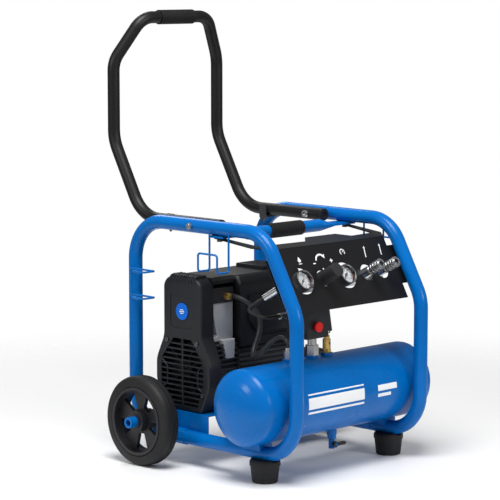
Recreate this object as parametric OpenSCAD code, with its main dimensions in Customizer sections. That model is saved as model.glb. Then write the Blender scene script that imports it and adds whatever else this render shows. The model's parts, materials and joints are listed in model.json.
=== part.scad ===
// Portable workshop air compressor: a tubular roll cage on two wheels and two rubber feet, a nine litre
// air receiver across the front, a direct-drive oil-free pump behind it, a sloping control panel and a
// push handle that folds forward over the cage.
// X runs across the machine, -Y is the front with the control panel, +Z is up, and the floor is z = 0.

/* [Cage] */
// Distance between the two side frames, tube centre to tube centre
frame_w = 359; // [340:1:440]
// Depth of a side frame, tube centre to tube centre
frame_d = 452; // [440:1:550]
// Height of the top tube's centre above the floor
frame_top = 482; // [470:1:580]
// Outside diameter of the cage tube
tube_d = 28; // [25:0.5:32]
// Wall of the cage tube
tube_wall = 2; // [1.5:0.1:3]
// Centreline radius of the cage's bends
bend_r = 80; // [60:1:100]
// How far back the sloping front goes from the front upright to the top tube
slope_run = 85.4; // [70:0.1:102]
// How far the sloping front drops from the top tube to the front upright
slope_drop = 153.4; // [130:0.1:184]
// Height of a front foot under the bottom tube
foot_h = 42; // [36:1:50]
// Widest diameter of a front foot
foot_d = 60; // [50:1:72]
// Distance of the feet behind the front upright
foot_back = 84; // [84:1:110]

/* [Carry bar] */
// Diameter of the carry bar between the top tubes
bar_d = 25; // [22:0.5:28]
// Distance of the carry bar in front of the handle's pivot
bar_ahead = 68; // [60:1:80]
// Thickness of the carry bar's flattened ends
bar_flat_t = 4; // [3:0.5:5]
// Length of the ribbed grips on the carry bar and on the handle
grip_len = 94; // [80:1:115]
// Thickness of the ribbed grips
grip_t = 2.5; // [2:0.1:4]

/* [Handle] */
// Outside diameter of the handle tube
handle_d = 25; // [22:0.5:28]
// Wall of the handle tube
handle_wall = 1.5; // [1.2:0.1:2.5]
// Gap between a handle leg and the frame beside it
handle_gap = 6; // [4:0.5:10]
// Length of the straight upright part of a leg above its knee
leg_len = 160; // [130:1:195]
// Height of the top bar above the straight part of the legs
crown_rise = 89; // [80:1:110]
// How far each leg leans inward below the top bar
crown_in = 55; // [45:1:66]
// How far the top bar stands in front of the legs
crown_ahead = 28; // [20:1:34]
// Angle that the handle folds forward through
fold_angle = 177; // [175:1:178]
// Diameter of the pivot bolts
pivot_d = 8; // [6:0.5:10]

/* [Wheels] */
// Diameter of a wheel
wheel_d = 180; // [160:1:216]
// Width of a wheel
wheel_w = 40; // [33:1:48]
// Gap between a side frame and the wheel beside it
wheel_gap = 30.6; // [28:0.1:40]
// Diameter of the axle tube
axle_d = 22; // [19:0.5:24]
// Distance of the axle in front of the rear upright
axle_ahead = 89; // [75:1:106]
// Length of axle that stands out beyond each wheel
axle_out = 19; // [15:1:24]
// Number of openings in a rim
window_count = 5; // [3:1:7]

/* [Receiver] */
// Outside diameter of the air receiver
tank_d = 151; // [126:1:160]
// Length of the receiver's straight shell
tank_len = 452; // [377:1:542]
// Depth of each domed end
dome_h = 35; // [28:1:45]
// Wall of the receiver
tank_wall = 2.5; // [2:0.1:4]
// Gap between the receiver and the front uprights
tank_gap = 4.5; // [3:0.5:14]

/* [Panel] */
// Distance of the panel's face behind the centre of the sloping tubes
panel_back = 15.5; // [15:0.5:18]
// Thickness of the panel sheet
sheet_t = 2; // [1.5:0.1:3]
// Height of the panel's lower edge up the slope
panel_low = 12; // [8:1:16]
// Height of the panel's top fold up the slope
panel_high = 147; // [140:1:152]
// Height of the instruments up the slope
instrument_s = 76; // [70:1:82]
// Diameter of a pressure gauge
gauge_d = 41; // [36:1:48]
// Diameter of the regulator knob
knob_d = 28; // [24:1:33]
// Diameter of an outlet coupler's sleeve
coupler_d = 22; // [19:1:26]
// Radius of the bore that takes the hose plug
coupler_bore_r = 5.3; // [4:0.1:6]

/* [Pump] */
// Height of the crankshaft above the platform
shaft_h = 86; // [80:1:92]
// Outside diameter of the motor housing
motor_d = 118; // [104:1:122]
// Cylinder bore
bore_d = 52; // [44:1:54]
// Piston stroke
stroke = 20; // [16:1:22]
// Diameter of the crankshaft
shaft_d = 12; // [10:0.5:14]
// Half width of the fan cover across its lower, wider part
cover_half = 77.5; // [74:0.5:84]
// Wall of the plastic covers
cover_t = 2.5; // [2:0.1:3.5]

/* [Hidden] */
$fn = 48;

// Clearances
slip = 0.05;          // radial clearance of a shaft, pin or bolt in its hole
touch = 0.1;          // gap between curved faces that rest on each other
free = 0.5;           // gap beside a moving part
lap = 0.5;            // length that a straight tube runs into a bend
swell = 0.1;          // extra diameter of a bend over its straights
seam = 25;            // turn of a straight about its own axis, so that its seam misses the bends' seams

// Cage
tube_r = tube_d / 2;
side_x = frame_w / 2;
front_y = -frame_d / 2;
rear_y = frame_d / 2;
low_z = foot_h + tube_r;
knee_z = frame_top - slope_drop;
slope_y = front_y + slope_run;
slope_a = atan2(slope_run, slope_drop);
frame_path = [
  [0, front_y, low_z], [0, rear_y, low_z], [0, rear_y, frame_top],
  [0, slope_y, frame_top], [0, front_y, knee_z]
];

// Handle: above its pivot it mirrors the cage's front, so that it folds down along it
handle_r = handle_d / 2;
pivot_y = 50;
leg_x = side_x - tube_r - handle_gap - handle_r;
leg_corner_y = 2 * pivot_y - slope_y;
leg_y = 2 * pivot_y - front_y;
leg_knee_z = 2 * frame_top - knee_z;
leg_top_z = leg_knee_z + leg_len;
crown_y = leg_y - crown_ahead;
crown_z = leg_top_z + crown_rise;
crown_x = leg_x - crown_in;
tail_len = 38;
handle_half = [
  [leg_x, pivot_y - tail_len, frame_top], [leg_x, leg_corner_y, frame_top],
  [leg_x, leg_y, leg_knee_z], [leg_x, leg_y, leg_top_z], [crown_x, crown_y, crown_z]
];
handle_path = concat(handle_half, [for (i = [4 : -1 : 0]) mirrored(handle_half[i])]);
handle_radii = [0, bend_r, bend_r, 60, 45, 45, 60, bend_r, bend_r, 0];

// The machine is centred in depth between the front uprights and the back of the handle
mid_y = (front_y - tube_r + leg_y + handle_r) / 2;

// Carry bar
bar_y = pivot_y - bar_ahead;
bar_flat_w = PI * bar_d / 2;
bar_flat_top = frame_top - tube_r - touch;
bar_z = bar_flat_top - bar_flat_t / 2;
bar_round_x = side_x - 78;
bar_flat_x = side_x - 50;

// Wheels and axle
wheel_r = wheel_d / 2;
axle_r = axle_d / 2;
axle_y = rear_y - axle_ahead;
axle_z = wheel_r;
wheel_in_x = side_x + tube_r + wheel_gap;
wheel_out_x = wheel_in_x + wheel_w;
rim_r = wheel_r * 0.76;
hub_r = axle_r + 11;

// Receiver
tank_r = tank_d / 2;
tank_y = front_y + tube_r + tank_gap + tank_r;
saddle_t = 4;
tank_z = low_z + tube_r + saddle_t + tank_r;
tank_top = tank_z + tank_r;
boss_h = 5;
safety_x = 4;
nipple_x = -38;
check_x = -104;
drain_x = 20;
drain_top = tank_z - tank_r - 12;
drain_z = drain_top - 19;

// Pressure switch, on its nipple above the receiver
switch_low = tank_top + 41;
switch_h = 56;
switch_mid_x = nipple_x - 7;
switch_w = 70;
switch_depth = 56;
switch_front_y = tank_y - switch_depth / 2;
switch_knob_x = switch_mid_x - 11;
switch_knob_z = switch_low + 25;

// Panel coordinates: x, then up the slope, then out of the face
fold_y = front_y + panel_back * cos(slope_a) + panel_high * sin(slope_a);
fold_z = knee_z - panel_back * sin(slope_a) + panel_high * cos(slope_a);
arm_past = 9;         // how far an arm runs behind the centre of the carry bar
arm_rise = atan2(bar_z - bar_flat_t / 2 - touch - fold_z, bar_y + arm_past - fold_y);
panel_half = side_x - tube_r - 3;
ear_half = side_x + 7.6;
gauge_x = [-110, 12];
knob_x = -53;
coupler_x = [74, 119];
manifold_n = -18;     // front of the manifold behind the panel's face
manifold_t = 24;
gauge_front = 8;
gauge_back = -9;
coupler_out = 44;

// Pump, centred over the platform behind the axle's front
pump_y = 100;
plate_top = axle_z + axle_r + 0.5 + cover_t;
shaft_z = plate_top + shaft_h;
cover_face_x = -side_x + 9.4;
cover_back_x = cover_face_x + 34;
case_half_x = bore_d / 2 + 3;
pump_x = cover_back_x + case_half_x + 2;      // centre of the cylinder
case_low = plate_top + 12;
crank_r = stroke / 2;
pin_r = 5;
eye_half = crank_r + pin_r + free;     // half width of the slot in the rod's big end
eye_wall = 4;
sump_r = norm([eye_half + eye_wall, eye_half + eye_wall + stroke]) + 2;
case_half_y = sump_r + 4;
case_top = shaft_z + sump_r + 9;
head_low = case_top + 77;
head_h = 30;
cover_top = head_low + head_h + 22;
motor_r = motor_d / 2;
motor_x0 = pump_x + case_half_x + 4;
motor_x1 = motor_x0 + 160;
shaft_r = shaft_d / 2;
bearing_r = 15;
bore_r = bore_d / 2;

wire_d = 4;

// ---- helpers ----------------------------------------------------------------------------------

// Moves the whole machine so that its box is centred on the origin
module stand() translate([0, -mid_y, 0]) children();

function mirrored(p) = [-p.x, p.y, p.z];
function unit(v) = v / norm(v);
function turn(a, b, c) = acos(min(1, max(-1, unit(b - a) * unit(c - b))));
function at(p, i) = p[(i + len(p)) % len(p)];
// Length that the bend at point i takes from the straights beside it
function taken(p, r, i, closed) = !closed && (i == 0 || i == len(p) - 1) ? 0
  : at(r, i) * tan(turn(at(p, i - 1), at(p, i), at(p, i + 1)) / 2);

// Round bar from a to b
module bar(a, b, d) {
  v = b - a;
  translate(a) rotate([0, acos(v.z / norm(v)), atan2(v.y, v.x)]) rotate(seam) cylinder(d = d, h = norm(v));
}

// Round bend at b on the way from a to c
module bend(a, b, c, r, d) {
  u = unit(b - a);
  n = unit(cross(u, unit(c - b)));
  side = cross(n, u);
  o = b - u * r * tan(turn(a, b, c) / 2) + side * r;
  multmatrix([
    [-side.x, u.x, n.x, o.x], [-side.y, u.y, n.y, o.y], [-side.z, u.z, n.z, o.z], [0, 0, 0, 1]
  ]) rotate_extrude(angle = turn(a, b, c)) translate([r, 0]) circle(d = d + swell);
}

// Round bar along the points p, with bend radius r[i] at each corner; each straight laps into its bends
module bent_bar(p, r, d, closed = false) {
  for (i = [0 : len(p) - (closed ? 1 : 2)]) {
    a = at(p, i);
    b = at(p, i + 1);
    u = unit(b - a);
    cut_a = taken(p, r, i, closed);
    cut_b = taken(p, r, (i + 1) % len(p), closed);
    bar(a + u * (cut_a > 0 ? cut_a - lap : 0), b - u * (cut_b > 0 ? cut_b - lap : 0), d);
  }
  for (i = [(closed ? 0 : 1) : len(p) - (closed ? 1 : 2)])
    bend(at(p, i - 1), at(p, i), at(p, i + 1), at(r, i), d);
}

// Flexible line through the points p, with round elbows
module soft_line(p, d) {
  for (i = [0 : len(p) - 2]) bar(p[i], p[i + 1], d);
  for (i = [1 : len(p) - 2]) translate(p[i]) sphere(d = d + swell);
}

// Cylinders along X and Y that start at the origin
module rod_x(r, h) rotate([0, 90, 0]) cylinder(r = r, h = h);
module rod_y(r, h) rotate([-90, 0, 0]) cylinder(r = r, h = h);

// Block given by its lowest and highest corners
module block(lo, hi) translate(lo) cube(hi - lo);

// Places children on the panel: z = 0 is its front face, y runs up the slope
module on_panel(x = 0, s = 0)
  translate([0, front_y, knee_z]) rotate([90 - slope_a, 0, 0]) translate([x, s, -panel_back]) children();

module both_sides() {
  children();
  mirror([1, 0, 0]) children();
}

// ---- cage -------------------------------------------------------------------------------------

sleeve_y = [75, 105];
bracket_t = 6;
panel_screw_s = [60, 112];

// The right side frame's closed tube at diameter d
module loop_tube(d) bent_bar([for (q = frame_path) q + [side_x, 0, 0]], [for (q = frame_path) bend_r], d, true);

module side_frame() {
  difference() {
    union() {
      loop_tube(tube_d);
      translate([side_x, sleeve_y[0], low_z]) rod_y(tube_r + 2, sleeve_y[1] - sleeve_y[0]);
      block([side_x - bracket_t / 2, axle_y - 19, low_z],
            [side_x + bracket_t / 2, axle_y + 19, axle_z + axle_r + 7]);
    }
    loop_tube(tube_d - 2 * tube_wall);
    translate([side_x - tube_r, axle_y, axle_z]) rod_x(axle_r + slip, tube_d);
    translate([side_x - tube_r - 1, pivot_y, frame_top]) rod_x(pivot_d / 2 + slip, tube_d + 2);
    translate([side_x, bar_y, frame_top - tube_r - 1]) cylinder(d = 6 + 2 * slip, h = tube_r);
    translate([side_x, front_y + foot_back, low_z - tube_r - 1]) cylinder(d = 6 + 2 * slip, h = tube_r);
    for (s = panel_screw_s) on_panel(side_x, s) cylinder(d = 5 + 2 * slip, h = panel_back);
  }
}

module left_frame() color("#0b6fc4") stand() mirror([1, 0, 0]) side_frame();
module right_frame() color("#0b6fc4") stand() side_frame();

module crossbar_shape() {
  translate([-bar_round_x, bar_y, bar_z]) rod_x(bar_d / 2, 2 * bar_round_x);
  both_sides() {
    hull() {
      translate([bar_round_x - 0.5, bar_y, bar_z]) rotate([0, 90, 0]) cylinder(d = bar_d, h = 0.5, $fn = 32);
      block([bar_flat_x, bar_y - bar_flat_w / 2, bar_z - bar_flat_t / 2],
            [bar_flat_x + 0.5, bar_y + bar_flat_w / 2, bar_z + bar_flat_t / 2]);
    }
    block([bar_flat_x + 0.5, bar_y - bar_flat_w / 2, bar_z - bar_flat_t / 2],
          [side_x + 11, bar_y + bar_flat_w / 2, bar_z + bar_flat_t / 2]);
  }
}

module crossbar() color("#0b6fc4") stand() difference() {
  crossbar_shape();
  both_sides() translate([side_x, bar_y, bar_z - bar_flat_t]) cylinder(d = 6 + 2 * slip, h = 2 * bar_flat_t);
}

// Ribbed rubber tube along X, centred on the origin
module grip_tube(inner_d) {
  d = inner_d + 2 * grip_t;
  ribs = 12;
  pitch = (grip_len - 10) / ribs;
  rotate([0, 90, 0]) difference() {
    union() {
      translate([0, 0, -grip_len / 2]) cylinder(d = d - 2, h = grip_len);
      for (e = [-grip_len / 2, grip_len / 2 - 4]) translate([0, 0, e]) cylinder(d = d, h = 4);
      for (i = [0 : ribs - 1])
        translate([0, 0, (i - ribs / 2 + 0.2) * pitch]) cylinder(d = d, h = pitch * 0.6);
    }
    translate([0, 0, -grip_len]) cylinder(d = inner_d + 2 * slip, h = 2 * grip_len);
  }
}

module crossbar_grip() color("#1b1b1d") stand() translate([0, bar_y, bar_z]) grip_tube(bar_d);

// Hexagon-socket screw along +Z: head below z = 0, shank above
module screw(d, h) {
  difference() {
    translate([0, 0, -d * 0.6]) cylinder(d = d * 1.8, h = d * 0.6);
    translate([0, 0, -d]) cylinder(d = d, h = d * 0.7, $fn = 6);
  }
  cylinder(d = d, h = h);
}

module frame_bolts() color("#5a5d61") stand() both_sides() {
  bolt_z = arm_low_z(bar_y) - 1;
  translate([side_x, bar_y, bolt_z]) screw(6, frame_top - tube_r + 6 - bolt_z);
  translate([side_x, front_y + foot_back, foot_seat_z]) screw(6, low_z - tube_r + 6 - foot_seat_z);
  for (s = panel_screw_s) on_panel(side_x, s) translate([0, 0, -sheet_t]) screw(5, sheet_t + panel_back - 4);
}

foot_seat_z = 14;

module front_feet() color("#1f2022") stand() both_sides()
  translate([side_x, front_y + foot_back, 0]) difference() {
    rotate_extrude() polygon([
      [0, 0], [foot_d / 2 - 7, 0], [foot_d / 2 - 5, 2], [foot_d / 2 - 1.5, foot_h - 10],
      [foot_d / 2, foot_h - 8], [foot_d / 2, foot_h - 1], [foot_d / 2 - 2, foot_h + 3], [0, foot_h + 3]
    ]);
    translate([0, -foot_d, low_z]) rod_y(tube_r + touch, 2 * foot_d);
    translate([0, 0, -1]) cylinder(d = 6 + 2 * slip, h = foot_h + 6);
    translate([0, 0, -1]) cylinder(d = 12, h = foot_seat_z + 1);
  }

module axle() color("#0b6fc4") stand() translate([-wheel_out_x - axle_out, axle_y, axle_z]) difference() {
  rod_x(axle_r, 2 * (wheel_out_x + axle_out));
  translate([-1, 0, 0]) rod_x(axle_r - 4.5, 2 * (wheel_out_x + axle_out) + 2);
}

// Spacer tubes between the frames and the wheels, and thin retaining rings outside the wheels
module axle_rings() color("#2a2b2e") stand() both_sides() translate([0, axle_y, axle_z]) {
  gap_x = side_x + bracket_t / 2;
  difference() {
    translate([gap_x, 0, 0]) rod_x(axle_r + 4, wheel_in_x - free - gap_x);
    translate([gap_x - 1, 0, 0]) rod_x(axle_r + slip, wheel_in_x - gap_x + 2);
  }
  difference() {
    translate([wheel_out_x + free, 0, 0]) rod_x(axle_r + 4, 1.5);
    translate([wheel_out_x, 0, 0]) rod_x(axle_r + slip, 3);
  }
}

// Wheel parts stand on their inner face at x = 0, with the axle along X
module rim_shape() {
  web_t = 8;
  difference() {
    union() {
      difference() {
        rod_x(rim_r, wheel_w);
        translate([wheel_w / 2 + web_t / 2, 0, 0]) rod_x(rim_r - 6, wheel_w);
        translate([-wheel_w / 2 - web_t / 2, 0, 0]) rod_x(rim_r - 6, wheel_w);
      }
      rod_x(hub_r, wheel_w);
    }
    translate([-1, 0, 0]) rod_x(axle_r + slip, wheel_w + 2);
    for (i = [0 : window_count - 1])
      rotate([34 + i * 360 / window_count, 0, 0]) translate([-1, 0, 0]) rotate([0, 90, 0])
        linear_extrude(wheel_w + 2) polygon([
          [-hub_r - 4, -8], [-rim_r + 10, -17], [-rim_r + 7.5, 0], [-rim_r + 10, 17], [-hub_r - 4, 8]
        ]);
  }
}

module tyre_shape() rotate([0, 90, 0]) rotate_extrude($fn = 96) polygon([
  [rim_r + slip, 0], [wheel_r - 5, 0], [wheel_r, 5], [wheel_r, wheel_w - 5], [wheel_r - 5, wheel_w],
  [rim_r + slip, wheel_w]
]);

module at_right_wheel() stand() translate([wheel_in_x, axle_y, axle_z]) children();
module left_rim() color("#26272a") mirror([1, 0, 0]) at_right_wheel() rim_shape();
module right_rim() color("#26272a") at_right_wheel() rim_shape();
module left_tyre() color("#1d1e20") mirror([1, 0, 0]) at_right_wheel() tyre_shape();
module right_tyre() color("#1d1e20") at_right_wheel() tyre_shape();

// Folded platform between the bottom tubes, open below, with the axle through its side walls
platform_y = [pump_y - 76, pump_y + 84];
platform_half = side_x - 7.4;

module pump_platform() color("#0a5ea8") stand() difference() {
  block([-platform_half, platform_y[0], low_z], [platform_half, platform_y[1], plate_top]);
  block([-platform_half + cover_t, platform_y[0] - 1, low_z - 1],
        [platform_half - cover_t, platform_y[1] + 1, plate_top - cover_t]);
  both_sides() {
    loop_tube(tube_d + 2 * touch);
    translate([side_x, sleeve_y[0] - 0.5, low_z]) rod_y(tube_r + 2 + touch, sleeve_y[1] - sleeve_y[0] + 1);
  }
  translate([-side_x, axle_y, axle_z]) rod_x(axle_r + 0.4, frame_w);
}

// ---- receiver and its fittings ------------------------------------------------------------------

// Half outline of the receiver, swollen by e, for turning about X
function tank_side(r, h, half) = concat(
  [[0, -half - h]],
  [for (i = [1 : 9]) [r * sin(i * 10), -half - h * cos(i * 10)]],
  [for (i = [9 : -1 : 1]) [r * sin(i * 10), half + h * cos(i * 10)]],
  [[0, half + h]]
);

module tank() color("#0b6fc4") stand() translate([0, tank_y, tank_z]) difference() {
  union() {
    rotate([0, 90, 0]) rotate_extrude($fn = 96) polygon(tank_side(tank_r, dome_h, tank_len / 2));
    for (x = [safety_x, nipple_x, check_x])
      translate([x, 0, tank_r - 6]) cylinder(r = 12, h = boss_h + 6);
    translate([drain_x, 0, -tank_r - 12]) cylinder(r = 10, h = 18);
  }
  rotate([0, 90, 0]) rotate_extrude($fn = 96)
    polygon(tank_side(tank_r - tank_wall, dome_h - tank_wall, tank_len / 2));
  for (x = [safety_x, nipple_x, check_x]) translate([x, 0, 0]) cylinder(r = 5 + slip, h = tank_r + boss_h + 1);
  translate([drain_x, 0, -tank_r - 13]) cylinder(r = 5 + slip, h = tank_r);
}

module tank_saddles() color("#0b6fc4") stand() both_sides() difference() {
  block([side_x - 17, front_y + bend_r + 1, low_z + 6], [side_x + 17, tank_y + 34, tank_z - tank_r + 9]);
  translate([0, tank_y, tank_z]) rod_x(tank_r + touch, frame_w);
  translate([side_x, tank_y - 40, low_z]) rod_y(tube_r + touch, 80);
}

module drain_valve() color("#b9bcc0") stand() translate([drain_x, tank_y, drain_top]) difference() {
  union() {
    cylinder(r = 5, h = 12);
    translate([0, 0, -8]) cylinder(r = 9, h = 8, $fn = 6);
    translate([0, 0, -28]) cylinder(r = 6, h = 20);
    translate([0, -13, -19]) rod_y(3, 13);
  }
  translate([0, 0, -29]) cylinder(r = 2.2, h = 42);
}

module drain_lever() color("#1d1e20") stand() translate([drain_x, tank_y, drain_z]) difference() {
  union() {
    translate([0, -12, 0]) rod_y(6, 5);
    block([0, -12, -3.5], [26, -9, 3.5]);
    translate([26, -12, 0]) rod_y(3.5, 3);
  }
  translate([0, -20, 0]) rod_y(3 + slip, 20);
}

module safety_valve() color("#c9a24a") stand() translate([safety_x, tank_y, tank_top + boss_h]) difference() {
  union() {
    translate([0, 0, -boss_h]) cylinder(r = 5, h = boss_h);
    cylinder(r = 9, h = 7, $fn = 6);
    translate([0, 0, 7]) cylinder(r = 8, h = 20);
    translate([0, 0, 27]) cylinder(r = 2.5, h = 12);
  }
  translate([0, -12, 19]) rod_y(2, 24);
  translate([0, 0, -boss_h - 1]) cylinder(r = 2.2, h = 16);
}

module safety_cap() color("#c9a24a") stand() translate([safety_x, tank_y, tank_top + boss_h + 27.4]) difference() {
  union() {
    cylinder(r = 6, h = 7);
    translate([0, 0, 7]) cylinder(r = 3.6, h = 6);
    translate([-1, 0, 20]) rotate([0, 90, 0]) rotate_extrude() translate([9, 0]) square([2, 2]);
  }
  translate([0, 0, -1]) cylinder(r = 2.5 + slip, h = 13);
}

// Check valve, switch nipple and hose unions: plated steel
module pipe_fittings() color("#b4b7bb") stand() {
  translate([check_x, tank_y, tank_top + boss_h]) {
    translate([0, 0, -boss_h]) cylinder(r = 5, h = boss_h);
    cylinder(r = 11, h = 16, $fn = 6);
    translate([0, 0, 16]) cylinder(r = 7, h = 6);
  }
  translate([nipple_x, tank_y, tank_top + boss_h]) {
    translate([0, 0, -boss_h]) cylinder(r = 5, h = boss_h);
    cylinder(r = 13.5, h = 20, $fn = 6);
    translate([0, 0, 20]) cylinder(r = 9, h = switch_low - tank_top - boss_h - 20);
  }
  bar(hose_top, hose_top + 34 * unit(hose_points[1] - hose_top), 14);
  bar(hose_low, hose_low + [-30, 0, 0], 12);
}

// ---- pressure switch ----------------------------------------------------------------------------

module pressure_switch() color("#232427") stand() {
  block([switch_mid_x - 30, switch_front_y + 6, switch_low], [switch_mid_x + 30, tank_y + switch_depth / 2, switch_low + 12]);
  translate([switch_mid_x + 36, tank_y + 6, switch_low + 6]) rotate([0, -90, 0]) difference() {
    cylinder(r = 5.5, h = 6);
    translate([0, 0, -1]) cylinder(r = 3.5, h = 8);
  }
}

module switch_cover() color("#161719") stand() difference() {
  translate([0, tank_y + switch_depth / 2, 0]) rotate([90, 0, 0]) linear_extrude(switch_depth) polygon([
    [switch_mid_x - switch_w / 2, switch_low + 12], [switch_mid_x + switch_w / 2, switch_low + 12],
    [switch_mid_x + switch_w / 2 - 8, switch_low + switch_h], [switch_mid_x - switch_w / 2 + 4, switch_low + switch_h]
  ]);
  block([switch_mid_x - switch_w / 2 + 6, switch_front_y + 3, switch_low + 11],
        [switch_mid_x + switch_w / 2 - 11, tank_y + switch_depth / 2 - 3, switch_low + switch_h - 3]);
  translate([switch_knob_x, switch_front_y - 1, switch_knob_z]) rod_y(7 + free, 8);
}

module switch_knob() color("#d3131b") stand() translate([switch_knob_x, switch_front_y, switch_knob_z]) {
  translate([0, -9, 0]) rod_y(10, 3);
  translate([0, -6, 0]) rod_y(7, 18);
}

// ---- control panel ------------------------------------------------------------------------------

// Height of the underside of the panel's arms at depth y
function arm_low_z(y) = fold_z + (y - fold_y) * tan(arm_rise) - sheet_t / cos(arm_rise);

module panel_sheet() {
  on_panel() translate([0, 0, -sheet_t]) linear_extrude(sheet_t) polygon([
    [-panel_half, panel_low], [panel_half, panel_low], [panel_half, 43], [ear_half, 43],
    [ear_half, 126], [panel_half - 3, 126], [panel_half - 3, panel_high], [-panel_half + 3, panel_high],
    [-panel_half + 3, 126], [-ear_half, 126], [-ear_half, 43], [-panel_half, 43]
  ]);
  arm_len = (bar_y + arm_past - fold_y) / cos(arm_rise);
  translate([0, fold_y, fold_z]) rotate([arm_rise, 0, 0]) translate([0, 0, -sheet_t]) linear_extrude(sheet_t) polygon([
    [-panel_half + 4, -1], [panel_half - 4, -1], [side_x + 7, 30], [side_x + 7, arm_len],
    [side_x - 8, arm_len], [side_x - 16, 34], [98, 30], [80, 58], [-8, 58], [-36, 30],
    [-side_x + 16, 34], [-side_x + 8, arm_len], [-side_x - 7, arm_len], [-side_x - 7, 30]
  ]);
}

module control_panel() color("#1c1d20") stand() difference() {
  panel_sheet();
  for (x = gauge_x) on_panel(x, instrument_s) translate([0, 0, -9]) cylinder(d = gauge_d + 14, h = 18);
  on_panel(knob_x, instrument_s) translate([0, 0, -9]) cylinder(d = knob_d + 6, h = 18);
  for (x = coupler_x) on_panel(x, instrument_s) translate([0, 0, -9]) cylinder(d = coupler_d + 12, h = 18);
  both_sides() {
    for (s = panel_screw_s) on_panel(side_x, s) translate([0, 0, -9]) cylinder(d = 5 + 2 * slip, h = 18);
    translate([side_x, bar_y, arm_low_z(bar_y) - 5]) cylinder(d = 6 + 2 * slip, h = 12);
  }
}

// Bar behind the panel that carries the gauges, the regulator and the couplers
module manifold() color("#8f9297") stand() difference() {
  on_panel(0, instrument_s) block([gauge_x[0] - 15, -11, manifold_n - manifold_t], [coupler_x[1] + 15, 11, manifold_n]);
  for (x = gauge_x) on_panel(x, instrument_s) translate([0, 0, manifold_n - 12]) cylinder(r = 5 + slip, h = 14);
  for (x = coupler_x) on_panel(x, instrument_s) translate([0, 0, manifold_n - 12]) cylinder(r = 6 + slip, h = 14);
  on_panel(knob_x, instrument_s) translate([0, 0, manifold_n - 12]) cylinder(r = 7 + slip, h = 14);
}

module regulator_body() color("#2b2c2f") stand() on_panel(knob_x, instrument_s) difference() {
  union() {
    translate([0, 0, manifold_n - 10]) cylinder(r = 7, h = 12);
    translate([0, 0, manifold_n]) cylinder(d = knob_d + 2, h = 3 - manifold_n);
    translate([0, 0, 3]) cylinder(r = 5, h = 18);
  }
}

module regulator_knob() color("#3a3b3e") stand() on_panel(knob_x, instrument_s) translate([0, 0, 3 + free]) difference() {
  cylinder(d = knob_d, h = 40);
  translate([0, 0, -1]) cylinder(r = 5 + slip, h = 22);
}

module gauge_cases() color("#c4c7ca") stand() for (x = gauge_x) on_panel(x, instrument_s) difference() {
  union() {
    translate([0, 0, manifold_n - 10]) cylinder(r = 5, h = gauge_back - manifold_n + 10);
    translate([0, 0, gauge_back]) cylinder(d = gauge_d, h = gauge_front - gauge_back);
  }
  translate([0, 0, gauge_back + 3]) cylinder(d = gauge_d - 5, h = 20);
}

module gauge_dials() color("#f2f2f0") stand() for (x = gauge_x) on_panel(x, instrument_s)
  translate([0, 0, gauge_back + 3]) {
    cylinder(d = gauge_d - 5 - 2 * touch, h = 6);
    translate([0, 0, 6]) cylinder(r = 1, h = 3);
  }

module gauge_lenses() color("#dfe8ee", 0.35) stand() for (x = gauge_x) on_panel(x, instrument_s)
  translate([0, 0, gauge_front - 2.4]) cylinder(d = gauge_d - 5 - 2 * touch, h = 1.6);

// Needle that points at its zero, low on the left, and turns clockwise
module needle() translate([0, 0, gauge_back + 9.4]) rotate([0, 0, -45]) difference() {
  union() {
    cylinder(r = 2.4, h = 1.2);
    linear_extrude(0.8) polygon([[-1, 6], [1, 6], [0.5, -gauge_d / 2 + 7], [-0.5, -gauge_d / 2 + 7]]);
  }
  translate([0, 0, -1]) cylinder(r = 1 + slip, h = 4);
}

module tank_needle() color("#101010") stand() on_panel(gauge_x[0], instrument_s) needle();
module line_needle() color("#101010") stand() on_panel(gauge_x[1], instrument_s) needle();

coupler_tube_r = coupler_d / 2 - 3.5;
sleeve_n = [17, 42];

module coupler_bodies() color("#a9acb0") stand() for (x = coupler_x) on_panel(x, instrument_s) difference() {
  union() {
    translate([0, 0, manifold_n - 10]) cylinder(r = 6, h = 12);
    translate([0, 0, manifold_n]) cylinder(d = coupler_d - 1, h = 12 - manifold_n, $fn = 6);
    translate([0, 0, 12]) cylinder(r = coupler_tube_r, h = coupler_out - 12);
  }
  translate([0, 0, coupler_out - 20]) cylinder(r = coupler_bore_r, h = 21);
  translate([0, 0, manifold_n - 11]) cylinder(r = 3, h = coupler_out);
}

module coupler_sleeve(x) stand() on_panel(x, instrument_s) translate([0, 0, sleeve_n[0]]) difference() {
  union() {
    cylinder(d = coupler_d - 2, h = sleeve_n[1] - sleeve_n[0]);
    for (z = [0, 7, 14]) translate([0, 0, z]) cylinder(d = coupler_d, h = 5);
    translate([0, 0, 21]) cylinder(d = coupler_d, h = sleeve_n[1] - sleeve_n[0] - 21);
  }
  translate([0, 0, -1]) cylinder(r = coupler_tube_r + slip, h = 40);
}

module left_coupler_sleeve() color("#8e9195") coupler_sleeve(coupler_x[0]);
module right_coupler_sleeve() color("#8e9195") coupler_sleeve(coupler_x[1]);

// ---- handle -------------------------------------------------------------------------------------

module handle_tube() color("#202124") stand() difference() {
  bent_bar(handle_path, handle_radii, handle_d);
  bent_bar(
    [for (i = [0 : len(handle_path) - 1]) handle_path[i] - (i == 0 || i == len(handle_path) - 1 ? [0, 1, 0] : [0, 0, 0])],
    handle_radii, handle_d - 2 * handle_wall);
  translate([-side_x, pivot_y, frame_top]) rod_x(pivot_d / 2 + slip, frame_w);
}

module handle_grip() color("#161618") stand() translate([0, crown_y, crown_z]) grip_tube(handle_d);

module handle_caps() color("#111113") stand() both_sides() translate([leg_x, pivot_y - tail_len, frame_top]) difference() {
  union() {
    translate([0, -3, 0]) rod_y(handle_r, 3);
    rod_y(handle_r - handle_wall - slip, 10);
  }
  translate([0, -4, 0]) rod_y(6, 3);
}

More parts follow.
